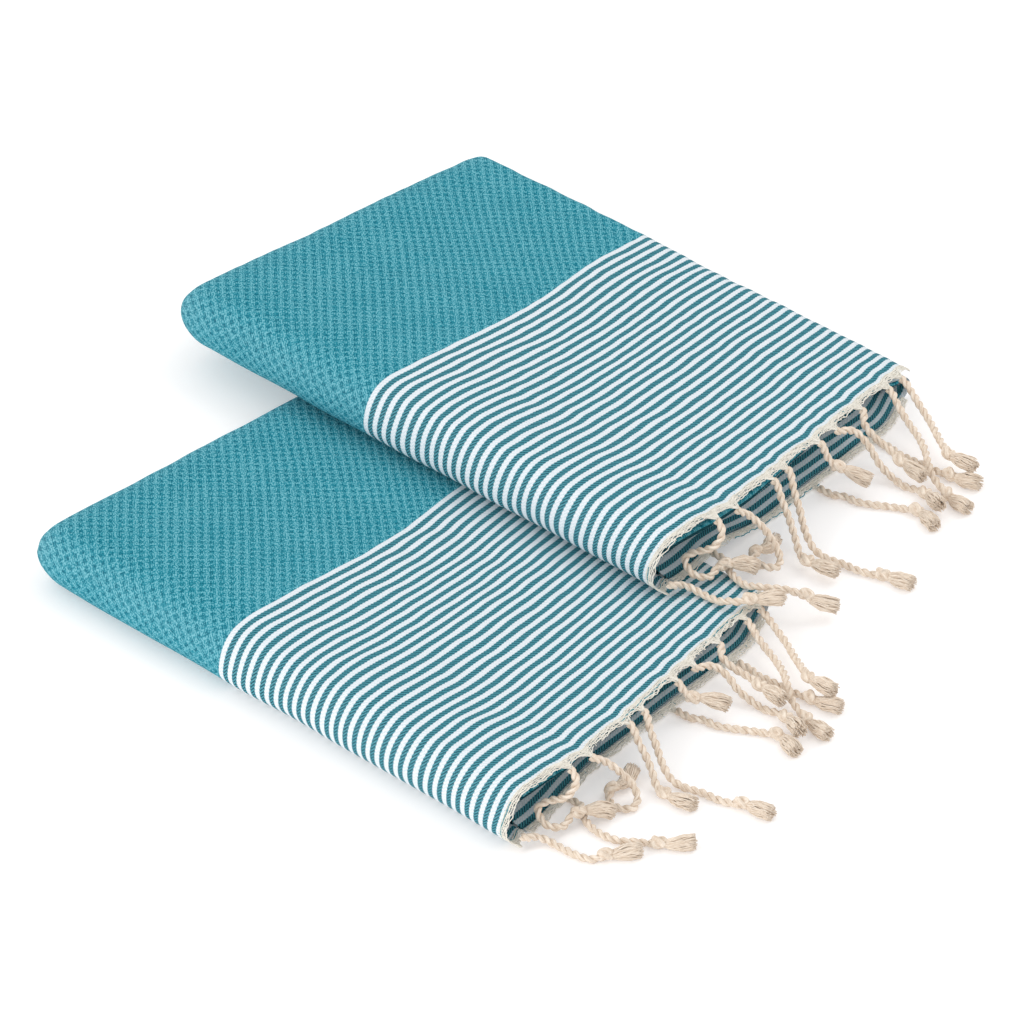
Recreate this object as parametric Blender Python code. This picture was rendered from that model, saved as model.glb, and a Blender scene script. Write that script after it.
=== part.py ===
"""Set of two flat-woven bath towels (foutas), folded and laid one on the other.

Each towel is one cloth of 1.00 x 2.00 m, folded twice in length and then in thirds across its
width, with both fringed ends at the right. The upper towel rests with its front strip on the
thin rear edge of the lower one. Metres, +Z up, +X towards the fringe, +Y towards the rear.
"""
import math

import bpy
from mathutils import Vector

# ---- Driving dimensions, metres -------------------------------------------------------------

LOWER_LENGTH = 0.500          # left fold to the hem, along the front fold
LOWER_DEPTH = 0.360           # front fold to rear fold
UPPER_LENGTH = 0.515          # the upper towel is folded a little looser
UPPER_DEPTH = 0.371
FRONT_HEIGHT = 0.050          # height of the soft front roll
LOWER_REAR_HEIGHT = 0.018     # the rear edge is pressed thin
UPPER_REAR_HEIGHT = 0.030
UPPER_SHIFT_LEFT = 0.119      # the upper towel lies this far to the left of the lower one
UPPER_SHIFT_BACK = 0.285      # and this far behind it

HEM_WIDTH = 0.008             # frayed band that the tassels grow out of
HEM_THICKNESS = 0.0035
TOP_HEM_SLANT = 0.050         # the top hem draws back towards the rear
TOP_HEM_STRAIGHT = 0.090      # stretch behind the front fold that stays square
BOTTOM_HEM_SLANT = 0.020
FLAP_SLOPE_LENGTH = 0.045     # the bottom panel slopes down to its hem over this length
FLAP_THICKNESS = 0.003

FRONT_CORNER_CUT = 0.016      # how far the rounded left corners draw in
REAR_CORNER_CUT = 0.014
FRONT_CORNER_DEPTH = 0.022
REAR_CORNER_DEPTH = 0.030
LEFT_END_ROUNDING = 0.028     # length over which the left folds round off
LEFT_END_SHARE = 0.55         # share of the height left at the very end

PANEL_GAP = 0.0008            # air between stacked panels
JOIN_GAP = 0.0004             # air between neighbours that touch
INNER_INSET = 0.012           # the inner panel stops short of the hems
REAR_FOLD_DEPTH = 0.014
REST_GAP = 0.0008             # air between the two towels
DRAPE_LENGTH = 0.100          # the upper towel comes down to the floor over this depth

CORD_RADIUS = 0.0030          # two-ply twisted tassel cord
CORD_EXIT = 0.0010            # air between a tassel and the hem it grows from
CORD_STRAIGHT = 0.0050        # a tassel leaves its hem straight before it bends
KNOT_RADIUS = 0.0055
KNOT_LENGTH = 0.012
TUFT_LENGTH = 0.026
TUFT_ROOT_RADIUS = 0.0040
TUFT_END_RADIUS = 0.0062
CORD_STEP = 0.007             # distance between the cord solid's rings
ROOTS_START = 0.020           # the upper cords rise over the lower towel's roots this far
ROOTS_RISE = 0.015            # before its hem, over this length,
ROOTS_END = 0.012             # and from this far past it
COME_DOWN = 0.050             # they come down to the floor over this length

# The tassel routes. Each has the hem it grows from, the share of the depth where it starts, and
# the points (forward, back, hang, lift) that follow its straight exit: forward and back from its
# root, hang from 1 at the root's height to 0 lying flat, and the lift over what it crosses.
TASSELS = [
    ("front", 0.033, [(0.005, 0.009, 0.6, 0), (0.011, 0.016, 0.2, 0),
                      (0.024, 0.018, 0, 0), (0.039, 0.019, 0, 0), (0.051, 0.024, 0, 0),
                      (0.059, 0.036, 0, 0), (0.076, 0.056, 0, 0)]),
    ("top", 0.183, [(0.010, -0.003, 0.82, 0), (0.008, -0.012, 0.62, 0),
                    (-0.005, -0.019, 0.45, 0), (-0.008, -0.026, 0.32, 0),
                    (0.004, -0.029, 0.16, 0), (0.013, -0.020, 0.05, 0.003),
                    (0.012, -0.006, 0, 0.009), (0.022, 0.012, 0, 0.007),
                    (0.033, 0.020, 0, 0.003)]),
    ("bottom", 0.217, [(0.012, -0.006, 0, 0), (0.024, -0.013, 0, 0),
                       (0.040, -0.016, 0, 0), (0.056, -0.013, 0, 0), (0.068, -0.004, 0, 0),
                       (0.080, 0.003, 0, 0), (0.092, 0.012, 0, 0), (0.104, 0.024, 0, 0)]),
    ("top", 0.250, [(0.007, 0.008, 0.85, 0), (0.014, 0.016, 0.6, 0),
                    (0.022, 0.022, 0.3, 0), (0.030, 0.020, 0.08, 0), (0.033, 0.011, 0, 0),
                    (0.025, 0.004, 0, 0), (0.014, 0.006, 0, 0), (0.008, 0.016, 0, 0.002),
                    (0.011, 0.028, 0, 0.004), (0.004, 0.046, 0, 0.006)]),
    ("top", 0.400, [(0.012, -0.002, 0.75, 0), (0.023, -0.005, 0.5, 0),
                    (0.033, -0.009, 0.25, 0), (0.041, -0.013, 0.06, 0),
                    (0.050, -0.015, 0, 0.001), (0.064, -0.014, 0, 0.002),
                    (0.082, -0.011, 0, 0)]),
    ("top", 0.458, [(0.013, -0.006, 0.8, 0), (0.024, -0.011, 0.55, 0),
                    (0.034, -0.016, 0.3, 0), (0.046, -0.020, 0.1, 0), (0.058, -0.019, 0, 0),
                    (0.073, -0.015, 0, 0), (0.088, -0.013, 0, 0), (0.100, -0.009, 0, 0),
                    (0.112, -0.004, 0, 0), (0.136, -0.001, 0, 0)]),
    ("top", 0.594, [(0.007, 0.001, 0.8, 0), (0.013, 0.004, 0.6, 0),
                    (0.018, 0.009, 0.42, 0.004), (0.032, 0.018, 0.1, 0.010),
                    (0.040, 0.022, 0, 0.010)]),
    ("bottom", 0.592, [(0.008, 0.002, 0, 0), (0.014, 0.005, 0, 0),
                       (0.026, 0.006, 0, 0), (0.038, 0.012, 0, 0), (0.048, 0.018, 0, 0),
                       (0.060, 0.024, 0, 0), (0.074, 0.027, 0, 0), (0.098, 0.018, 0, 0)]),
    ("top", 0.664, [(0.006, 0.008, 0.95, 0), (0.010, 0.016, 0.8, 0),
                    (0.020, 0.019, 0.55, 0), (0.031, 0.018, 0.3, 0), (0.043, 0.019, 0.1, 0),
                    (0.056, 0.020, 0, 0), (0.070, 0.022, 0, 0.002), (0.081, 0.019, 0, 0.005),
                    (0.105, 0.007, 0, 0.010)]),
    ("top", 0.769, [(0.009, -0.006, 0.85, 0), (0.020, -0.007, 0.65, 0),
                    (0.031, -0.005, 0.45, 0.001), (0.043, -0.006, 0.25, 0.005),
                    (0.053, -0.008, 0.1, 0.009), (0.080, -0.012, 0, 0.012)]),
    ("bottom", 0.806, [(0.014, -0.002, 0, 0), (0.030, -0.001, 0, 0),
                       (0.048, 0, 0, 0), (0.059, 0.002, 0, 0), (0.066, 0.002, 0, 0),
                       (0.093, 0.008, 0, 0)]),
    ("top", 0.883, [(0.015, -0.005, 0.85, 0), (0.030, -0.010, 0.6, 0),
                    (0.046, -0.016, 0.35, 0.003), (0.060, -0.024, 0.1, 0.008),
                    (0.070, -0.032, 0, 0.009), (0.081, -0.040, 0, 0.005),
                    (0.096, -0.045, 0, 0.001), (0.110, -0.050, 0, 0),
                    (0.134, -0.054, 0, 0)]),
    ("top", 0.939, [(0.013, -0.003, 0.9, 0), (0.027, -0.008, 0.7, 0),
                    (0.041, -0.013, 0.5, 0), (0.057, -0.022, 0.3, 0.003),
                    (0.072, -0.031, 0.1, 0.008), (0.084, -0.037, 0, 0.011),
                    (0.096, -0.038, 0, 0.012), (0.113, -0.037, 0, 0.012)]),
]

# Colours as linear RGB, and roughness
FIELD_TEAL = (0.060, 0.330, 0.400, 1.0)
STRIPE_MIX = (0.420, 0.600, 0.660, 1.0)
HEM_CREAM = (0.780, 0.760, 0.700, 1.0)
TASSEL_CREAM = (0.740, 0.620, 0.470, 1.0)
CLOTH_ROUGHNESS = 0.90

ROLL_RADIUS = FRONT_HEIGHT / 2
PANEL_START = ROLL_RADIUS + 0.0035       # the panels begin just behind the front roll
THIRD = 1 / 3


def clamp01(value):
    return min(max(value, 0.0), 1.0)


def ease(value):
    """Smooth step from 0 to 1."""
    value = clamp01(value)
    return value * value * (3 - 2 * value)


class Towel:
    """The measures of one folded towel, in its own frame: front-left corner at the origin."""

    def __init__(self, name, length, depth, rear_height):
        self.name = name
        self.length = length
        self.depth = depth
        self.rear_height = rear_height
        self.rear_flat = depth - rear_height / 2

    def under(self, y):
        """Height of the packet's underside."""
        return 0.0

    def rest(self, x, y):
        """Height of what a tassel lies on."""
        return 0.0

    def top(self, y):
        """Height of the packet's top, from the front roll to the thin rear edge."""
        front = self.under(ROLL_RADIUS) + FRONT_HEIGHT
        share = clamp01((y - ROLL_RADIUS) / (self.rear_flat - ROLL_RADIUS))
        height = front + (self.rear_height - front) * share
        if y > self.rear_flat:
            over = min(y - self.rear_flat, self.rear_height / 2)
            height -= self.rear_height / 2 - math.sqrt((self.rear_height / 2) ** 2 - over ** 2)
        return height

    def level(self, y, share):
        """Height at a share of the thickness, 0 at the underside and 1 at the top."""
        return self.under(y) + (self.top(y) - self.under(y)) * share

    def left(self, y):
        """Where the packet starts: its left corners are rounded."""
        front = clamp01(1 - y / FRONT_CORNER_DEPTH)
        rear = clamp01((y - self.depth + REAR_CORNER_DEPTH) / REAR_CORNER_DEPTH)
        return FRONT_CORNER_CUT * front ** 2 + REAR_CORNER_CUT * rear ** 2

    def top_end(self, y):
        """The top hem's outer edge."""
        slanted = (y - TOP_HEM_STRAIGHT) / (self.depth - TOP_HEM_STRAIGHT)
        return self.length - TOP_HEM_SLANT * max(slanted, 0.0)

    def bottom_end(self, y):
        """The bottom hem's outer edge."""
        return self.length - BOTTOM_HEM_SLANT * y / self.depth


class UpperTowel(Towel):
    """Rests with its front strip on the lower towel and drapes down to the floor behind it."""

    def __init__(self, name, length, depth, rear_height, below):
        self.below = below
        super().__init__(name, length, depth, rear_height)

    def under(self, y):
        world_y = y + UPPER_SHIFT_BACK
        edge = self.below.rear_flat
        height = self.below.top(min(world_y, edge)) + REST_GAP
        return height * (1 - ease((world_y - edge) / DRAPE_LENGTH))

    def rest(self, x, y):
        past_hem = x - UPPER_SHIFT_LEFT - self.below.top_end(self.below.depth)
        height = self.under(y)
        on_cords = 2 * CORD_RADIUS * ease((past_hem + ROOTS_START) / ROOTS_RISE)
        raised = height + on_cords * height / self.under(0)
        return raised * (1 - ease((past_hem - ROOTS_END) / COME_DOWN))


def spaced(start, end, count):
    """Evenly spaced values, both ends included."""
    return [start + (end - start) * i / (count - 1) for i in range(count)]


def rounded_left(towel, x, y, z):
    """Draws a height in towards the packet's middle near the left folds."""
    inside = clamp01((x - towel.left(y)) / LEFT_END_ROUNDING)
    share = LEFT_END_SHARE + (1 - LEFT_END_SHARE) * math.sqrt(1 - (1 - inside) ** 2)
    middle = towel.level(max(y, ROLL_RADIUS), 0.5)
    return middle + (z - middle) * share


def slab(name, towel, depths, lengths, low, high, material, parent):
    """A closed solid between two surfaces, over rows of points at the given depths."""
    columns = len(lengths(depths[0]))
    verts = []
    for surface in (low, high):
        for y in depths:
            for x in lengths(y):
                verts.append((x, y, rounded_left(towel, x, y, surface(x, y))))
    side = len(depths) * columns
    faces = []
    for j in range(len(depths) - 1):
        for i in range(columns - 1):
            a = j * columns + i
            faces.append((a, a + columns, a + columns + 1, a + 1))
            faces.append((side + a, side + a + 1, side + a + columns + 1, side + a + columns))
    rim = [i for i in range(columns)]
    rim += [j * columns + columns - 1 for j in range(1, len(depths))]
    rim += [(len(depths) - 1) * columns + i for i in range(columns - 2, -1, -1)]
    rim += [j * columns for j in range(len(depths) - 2, 0, -1)]
    for a, b in zip(rim, rim[1:] + rim[:1]):
        faces.append((a, b, side + b, side + a))
    mesh = bpy.data.meshes.new(name)
    mesh.from_pydata(verts, [], faces)
    mesh.materials.append(material)
    return place(name, mesh, parent)


def place(name, data, parent):
    """Links an object whose points are given in its towel's frame."""
    piece = bpy.data.objects.new(name, data)
    bpy.context.collection.objects.link(piece)
    piece.parent = parent
    piece.location = -Vector(parent["offset"])
    return piece


def pivot(name, location, offset):
    """An empty that carries the pieces which move together."""
    empty = bpy.data.objects.new(name, None)
    bpy.context.collection.objects.link(empty)
    empty.location = location
    empty["offset"] = offset
    return empty


def cloth_material(name, colour):
    material = bpy.data.materials.new(name)
    material.use_nodes = True
    shader = material.node_tree.nodes["Principled BSDF"]
    shader.inputs["Base Color"].default_value = colour
    shader.inputs["Roughness"].default_value = CLOTH_ROUGHNESS
    shader.inputs["Metallic"].default_value = 0.0
    material.diffuse_color = colour
    return material


def left_steps(towel, y):
    """Places along the rounded left end."""
    start = towel.left(y)
    return [start + LEFT_END_ROUNDING * share for share in (0, 0.12, 0.32, 0.62, 1)]


def panel_depths(towel, end):
    """Rows across a panel; the drape of the upper towel needs them evenly close."""
    return spaced(PANEL_START, end, 16)


def build_panels(towel, body, flap):
    """The three stacked thirds of the cloth."""
    inner_end = towel.depth - REAR_FOLD_DEPTH - JOIN_GAP
    half_gap = PANEL_GAP / 2

    def bottom_lengths(y):
        end = towel.bottom_end(y) - HEM_WIDTH - JOIN_GAP
        slope = [end - FLAP_SLOPE_LENGTH * share for share in (1, 0.66, 0.33, 0)]
        return left_steps(towel, y) + slope

    def bottom_high(x, y):
        end = towel.bottom_end(y) - HEM_WIDTH
        flat = ease((end - x) / FLAP_SLOPE_LENGTH)
        full = towel.level(y, THIRD) - half_gap
        thin = towel.under(y) + FLAP_THICKNESS
        return thin + (max(full, thin) - thin) * flat

    slab(towel.name + "_bottom_panel", towel, panel_depths(towel, inner_end), bottom_lengths,
         lambda x, y: towel.under(y), bottom_high, cloth_material("panel", STRIPE_MIX), body)

    slab(towel.name + "_inner_panel", towel, panel_depths(towel, inner_end),
         lambda y: left_steps(towel, y) + [towel.top_end(y) - INNER_INSET - HEM_WIDTH],
         lambda x, y: towel.level(y, THIRD) + half_gap,
         lambda x, y: towel.level(y, 2 * THIRD) - half_gap,
         cloth_material("inner", FIELD_TEAL), body)

    slab(towel.name + "_top_panel", towel,
         panel_depths(towel, inner_end) + [towel.rear_flat],
         lambda y: left_steps(towel, y) + [towel.top_end(y) - HEM_WIDTH - JOIN_GAP],
         lambda x, y: towel.level(y, 2 * THIRD) + half_gap,
         lambda x, y: towel.top(y), cloth_material("top", STRIPE_MIX), flap)


def roll_depths():
    """Rows of the half-round front roll, closer together where it turns."""
    turns = [math.radians(angle) for angle in (12, 24, 38, 54, 72, 90)]
    rows = [ROLL_RADIUS * (1 - math.cos(turn)) for turn in turns]
    return rows + [PANEL_START - JOIN_GAP]


def roll_surface(towel, upward):
    """Half of the front roll's section, going up or down from its middle."""
    def height(x, y):
        if y >= ROLL_RADIUS:
            return towel.top(y) if upward else towel.under(y)
        reach = ROLL_RADIUS - y
        rise = math.sqrt(ROLL_RADIUS ** 2 - reach ** 2)
        middle = towel.under(ROLL_RADIUS) + ROLL_RADIUS
        return middle + rise if upward else middle - rise
    return height


def build_folds(towel, body):
    """The front roll that joins bottom and top panels, and the rear fold to the inner panel."""
    low = roll_surface(towel, False)
    high = roll_surface(towel, True)
    slab(towel.name + "_front_fold", towel, roll_depths(),
         lambda y: left_steps(towel, y) + [towel.length - HEM_WIDTH - JOIN_GAP],
         low, high, cloth_material("roll", FIELD_TEAL), body)
    slab(towel.name + "_front_hem", towel, roll_depths(),
         lambda y: [towel.length - HEM_WIDTH, towel.length],
         low, high, cloth_material("hem", HEM_CREAM), body)

    start = towel.depth - REAR_FOLD_DEPTH
    rounding = towel.rear_height * THIRD

    def rear_round(y, share):
        past = clamp01((y - towel.depth + rounding) / rounding)
        middle = towel.level(min(y, towel.rear_flat), THIRD)
        height = towel.level(min(y, towel.rear_flat), share)
        return middle + (height - middle) * math.sqrt(1 - 0.9 * past ** 2)

    rows = [start] + [towel.depth - rounding * share for share in (1, 0.7, 0.4, 0.15, 0)]
    slab(towel.name + "_rear_fold", towel, rows,
         lambda y: left_steps(towel, y) + [towel.top_end(y) - INNER_INSET - HEM_WIDTH],
         lambda x, y: rear_round(y, 0),
         lambda x, y: rear_round(y, 2 * THIRD) - PANEL_GAP,
         cloth_material("rear", FIELD_TEAL), body)


def build_hems(towel, body, flap):
    """The frayed end bands of the top and bottom panels."""
    rows = panel_depths(towel, towel.depth - REAR_FOLD_DEPTH - JOIN_GAP)
    slab(towel.name + "_top_hem", towel, rows,
         lambda y: [towel.top_end(y) - HEM_WIDTH, towel.top_end(y)],
         lambda x, y: towel.top(y) - HEM_THICKNESS, lambda x, y: towel.top(y),
         cloth_material("hem", HEM_CREAM), flap)
    slab(towel.name + "_bottom_hem", towel, rows,
         lambda y: [towel.bottom_end(y) - HEM_WIDTH, towel.bottom_end(y)],
         lambda x, y: towel.under(y), lambda x, y: towel.under(y) + FLAP_THICKNESS,
         cloth_material("hem", HEM_CREAM), body)


def smooth_route(points, step):
    """Evenly spaced points on a smooth curve through the given ones."""
    chain = [2 * points[0] - points[1]] + points + [2 * points[-1] - points[-2]]
    fine = []
    for before, start, end, after in zip(chain, chain[1:], chain[2:], chain[3:]):
        for i in range(24):
            t = i / 24
            fine.append(0.5 * (2 * start + (end - before) * t
                               + (2 * before - 5 * start + 4 * end - after) * t * t
                               + (3 * start - before - 3 * end + after) * t ** 3))
    fine.append(points[-1].copy())
    along = [0.0]
    for a, b in zip(fine, fine[1:]):
        along.append(along[-1] + (b - a).length)
    count = max(round(along[-1] / step), 6)
    result = []
    k = 0
    for i in range(count + 1):
        target = along[-1] * i / count
        while k < len(along) - 2 and along[k + 1] < target:
            k += 1
        span = along[k + 1] - along[k]
        result.append((fine[k].lerp(fine[k + 1], (target - along[k]) / span), target))
    return result, along[-1]


def tassel_radius(along, total):
    """Cord, then the knot's swelling, then the spreading tuft."""
    to_end = total - along
    if to_end <= TUFT_LENGTH:
        share = 1 - to_end / TUFT_LENGTH
        spread = TUFT_ROOT_RADIUS + (TUFT_END_RADIUS - TUFT_ROOT_RADIUS) * min(share * 1.4, 1)
        return spread * (0.75 if to_end < 0.001 else 1.0)
    if to_end <= TUFT_LENGTH + KNOT_LENGTH:
        share = (to_end - TUFT_LENGTH) / KNOT_LENGTH
        return CORD_RADIUS + (KNOT_RADIUS - CORD_RADIUS) * math.sin(math.pi * share)
    return CORD_RADIUS


def tassel_root(towel, edge, y):
    """Where a tassel grows out of its hem."""
    if edge == "front":
        reach = ROLL_RADIUS - y
        rise = math.sqrt(ROLL_RADIUS ** 2 - reach ** 2)
        return Vector((towel.length, y, towel.under(ROLL_RADIUS) + ROLL_RADIUS - 0.6 * rise))
    if edge == "top":
        return Vector((towel.top_end(y), y, towel.top(y) - HEM_THICKNESS / 2))
    return Vector((towel.bottom_end(y), y, towel.under(y) + CORD_RADIUS))


def build_tassel(name, towel, edge, share, route, parent):
    """One tassel as a single solid: twisted cord, overhand knot and tuft of loose yarn."""
    root = tassel_root(towel, edge, share * towel.depth)
    points = [root + Vector((CORD_STRAIGHT, 0, 0))]
    for forward, back, hang, lift in route:
        x = root.x + forward
        y = root.y + back
        rest = towel.rest(x, y)
        points.append(Vector((x, y, rest + CORD_RADIUS + lift
                              + hang * max(root.z - rest - CORD_RADIUS, 0))))
    rings, total = smooth_route(points, CORD_STEP)
    rings.insert(0, (root + Vector((CORD_EXIT, 0, 0)), 0.0))
    curve = bpy.data.curves.new(name, "CURVE")
    curve.dimensions = "3D"
    curve.bevel_depth = CORD_RADIUS
    curve.bevel_resolution = 2
    curve.use_fill_caps = True
    spline = curve.splines.new("POLY")
    spline.points.add(len(rings) - 1)
    for control, (point, along) in zip(spline.points, rings):
        radius = tassel_radius(along, total)
        height = max(point.z, towel.rest(point.x, point.y) + radius)
        control.co = (point.x, point.y, height, 1)
        control.radius = radius / CORD_RADIUS
    curve.materials.append(cloth_material("cotton", TASSEL_CREAM))
    return place(name, curve, parent)


def build_towel(towel, body, flap):
    build_panels(towel, body, flap)
    build_folds(towel, body)
    build_hems(towel, body, flap)
    for number, (edge, share, route) in enumerate(TASSELS, start=1):
        parent = flap if edge == "top" else body
        build_tassel(f"{towel.name}_tassel_{number:02d}", towel, edge, share, route, parent)


def main():
    for old in list(bpy.data.objects):
        bpy.data.objects.remove(old)

    lower = Towel("lower_towel", LOWER_LENGTH, LOWER_DEPTH, LOWER_REAR_HEIGHT)
    upper = UpperTowel("upper_towel", UPPER_LENGTH, UPPER_DEPTH, UPPER_REAR_HEIGHT, lower)

    # The origin is under the middle of the two folded cloths.
    middle_x = (lower.length - UPPER_SHIFT_LEFT) / 2
    middle_y = (UPPER_SHIFT_BACK + upper.depth) / 2
    lower_corner = Vector((-middle_x, -middle_y, 0))
    upper_corner = lower_corner + Vector((-UPPER_SHIFT_LEFT, UPPER_SHIFT_BACK, 0))

    lower_body = pivot("lower_towel_place", lower_corner, (0, 0, 0))
    build_towel(lower, lower_body, lower_body)

    # The top panel opens forwards about a line in front of the roll: the roll's cloth lays
    # itself flat as it opens, which moves the turning line out by half of its curved length.
    hinge_y = ROLL_RADIUS - math.pi * ROLL_RADIUS / 2
    hinge_z = (lower.top(UPPER_SHIFT_BACK + hinge_y) + upper.top(ROLL_RADIUS)) / 2 + 0.003
    hinge = Vector((0, hinge_y, hinge_z))
    upper_body = pivot("upper_towel_place", upper_corner, (0, 0, 0))
    upper_flap = pivot("upper_towel_hinge", upper_corner + hinge, hinge)
    build_towel(upper, upper_body, upper_flap)


main()
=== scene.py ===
"""The looks of a set of two folded flat-woven bath towels (foutas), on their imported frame.

Each towel is one cotton cloth of 1.00 x 2.00 m, folded zigzag into four layers in length and then
in thirds across its width. Everything is in metres, +Z up, +X towards the fringe, +Y to the rear.
"""
import math
import random

import bpy
import numpy as np
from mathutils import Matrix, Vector


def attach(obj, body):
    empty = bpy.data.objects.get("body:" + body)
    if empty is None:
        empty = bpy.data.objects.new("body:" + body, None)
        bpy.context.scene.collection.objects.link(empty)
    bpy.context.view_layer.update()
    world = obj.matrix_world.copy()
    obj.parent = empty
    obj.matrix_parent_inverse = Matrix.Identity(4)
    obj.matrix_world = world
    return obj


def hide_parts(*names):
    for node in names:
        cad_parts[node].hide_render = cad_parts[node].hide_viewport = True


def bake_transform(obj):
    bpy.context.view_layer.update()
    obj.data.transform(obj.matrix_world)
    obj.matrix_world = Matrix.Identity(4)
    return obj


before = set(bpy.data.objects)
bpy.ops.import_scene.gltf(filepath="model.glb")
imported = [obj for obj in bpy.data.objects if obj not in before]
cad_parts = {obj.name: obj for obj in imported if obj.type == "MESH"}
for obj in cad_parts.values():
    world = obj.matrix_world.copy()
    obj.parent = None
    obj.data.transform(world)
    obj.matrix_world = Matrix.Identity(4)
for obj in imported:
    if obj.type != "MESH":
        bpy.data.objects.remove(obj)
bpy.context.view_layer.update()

# ---- Camera ----

CAMERA_AZIMUTH = math.radians(42.0)
CAMERA_ELEVATION = math.radians(36.6)
CAMERA_DISTANCE = 6.319
CAMERA_TARGET = Vector((0.0225, -0.007, 0))
CAMERA_LENS = 281.25  # mm
CAMERA_SENSOR = 36  # mm


def add_object(name, data):
    made = bpy.data.objects.new(name, data)
    bpy.context.collection.objects.link(made)
    return made


def make_camera():
    data = bpy.data.cameras.new("camera")
    data.lens = CAMERA_LENS
    data.sensor_width = CAMERA_SENSOR
    camera = add_object("camera", data)
    back = Vector((math.sin(CAMERA_AZIMUTH) * math.cos(CAMERA_ELEVATION),
                   -math.cos(CAMERA_AZIMUTH) * math.cos(CAMERA_ELEVATION),
                   math.sin(CAMERA_ELEVATION)))
    camera.location = CAMERA_TARGET + back * CAMERA_DISTANCE
    camera.rotation_euler = back.to_track_quat("Z", "Y").to_euler()
    bpy.context.scene.camera = camera


make_camera()

# ---- Sizes of the folded towels ----

LOWER_LENGTH = 0.500  # left fold to the hem, along the front fold
LOWER_DEPTH = 0.360  # front fold to rear fold
UPPER_LENGTH = 0.515
UPPER_DEPTH = 0.371
FRONT_HEIGHT = 0.050  # height of the soft front roll
LOWER_REAR_HEIGHT = 0.018  # the rear edge is pressed thin
UPPER_REAR_HEIGHT = 0.030
UPPER_SHIFT_LEFT = 0.119  # the upper towel lies this far to the left of the lower one
UPPER_SHIFT_BACK = 0.285  # and this far behind it

HEM_WIDTH = 0.008  # frayed band that the tassels grow out of
HEM_THICKNESS = 0.0035
TOP_HEM_SLANT = 0.050  # the top hem draws back towards the rear
TOP_HEM_STRAIGHT = 0.090  # stretch behind the front fold that stays square
BOTTOM_HEM_SLANT = 0.020
FRONT_CORNER_CUT = 0.005  # how far the rounded left corners draw in
REAR_CORNER_CUT = 0.008
FRONT_CORNER_DEPTH = 0.018
REAR_CORNER_DEPTH = 0.026
LEFT_END_ROUNDING = 0.022  # length over which the left folds round off
LEFT_END_DROP = 0.07  # share of the height the top loses at the very end,
LEFT_END_RAISE = 0.50  # and the underside gains under the front roll
LEFT_END_FLAT = 0.08  # and behind it
FRONT_DROP = 0.0105  # the front roll is lower than the stack behind it
FRONT_DROP_DEPTH = 0.070
LEFT_DROP_SHARE = 0.35  # share of that drop at the left end,
LEFT_DROP_REACH = 0.140  # which grows to the whole over this length
REST_GAP = 0.0008  # air between the two towels
DRAPE_LENGTH = 0.100  # the upper towel comes down to the floor over this depth

CORD_RADIUS = 0.0030  # two-ply twisted tassel cord
CORD_EXIT = 0.0010  # air between a tassel and the hem it grows from
CORD_STRAIGHT = 0.0050  # a tassel leaves its hem straight before it bends
KNOT_RADIUS = 0.0055
KNOT_LENGTH = 0.012
TUFT_LENGTH = 0.026
TUFT_ROOT_RADIUS = 0.0040
TUFT_END_RADIUS = 0.0062
ROOTS_START = 0.020  # the upper cords rise over the lower towel's roots this far
ROOTS_RISE = 0.015  # before its hem, over this length,
ROOTS_END = 0.012  # and from this far past it
COME_DOWN = 0.050  # they come down to the floor over this length

ROLL_RADIUS = FRONT_HEIGHT / 2
PANEL_START = ROLL_RADIUS + 0.0035  # the panels begin just behind the front roll


def clamp01(value):
    return np.clip(value, 0.0, 1.0)


def ease(value):
    """Smooth step from 0 to 1."""
    value = clamp01(value)
    return value * value * (3 - 2 * value)


class Towel:
    """The measures of one folded towel, in its own frame: front-left corner at the origin."""

    def __init__(self, name, length, depth, rear_height, corner):
        self.name = name
        self.length = length
        self.depth = depth
        self.rear_height = rear_height
        self.rear_flat = depth - rear_height / 2
        self.corner = corner

    def under(self, y):
        """Height of the packet's underside."""
        return 0.0 * y

    def rest(self, x, y):
        """Height of what a tassel lies on."""
        return 0.0

    def top(self, y):
        """Height of the packet's top, from the front roll to the thin rear edge."""
        front = self.under(ROLL_RADIUS) + FRONT_HEIGHT
        share = clamp01((y - ROLL_RADIUS) / (self.rear_flat - ROLL_RADIUS))
        half = self.rear_height / 2
        over = np.clip(y - self.rear_flat, 0, half)
        return front + (self.rear_height - front) * share - (half - np.sqrt(half ** 2 - over ** 2))

    def level(self, y, share):
        """Height at a share of the thickness, 0 at the underside and 1 at the top."""
        return self.under(y) + (self.top(y) - self.under(y)) * share

    def left(self, y):
        """Where the packet starts: its left corners are rounded."""
        front = clamp01(1 - y / FRONT_CORNER_DEPTH)
        rear = clamp01((y - self.depth + REAR_CORNER_DEPTH) / REAR_CORNER_DEPTH)
        return FRONT_CORNER_CUT * front ** 2 + REAR_CORNER_CUT * rear ** 2

    def top_end(self, y):
        """The top hem's outer edge."""
        slanted = (y - TOP_HEM_STRAIGHT) / (self.depth - TOP_HEM_STRAIGHT)
        return self.length - TOP_HEM_SLANT * np.maximum(slanted, 0.0)

    def bottom_end(self, y):
        """The bottom hem's outer edge."""
        return self.length - BOTTOM_HEM_SLANT * y / self.depth


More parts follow.
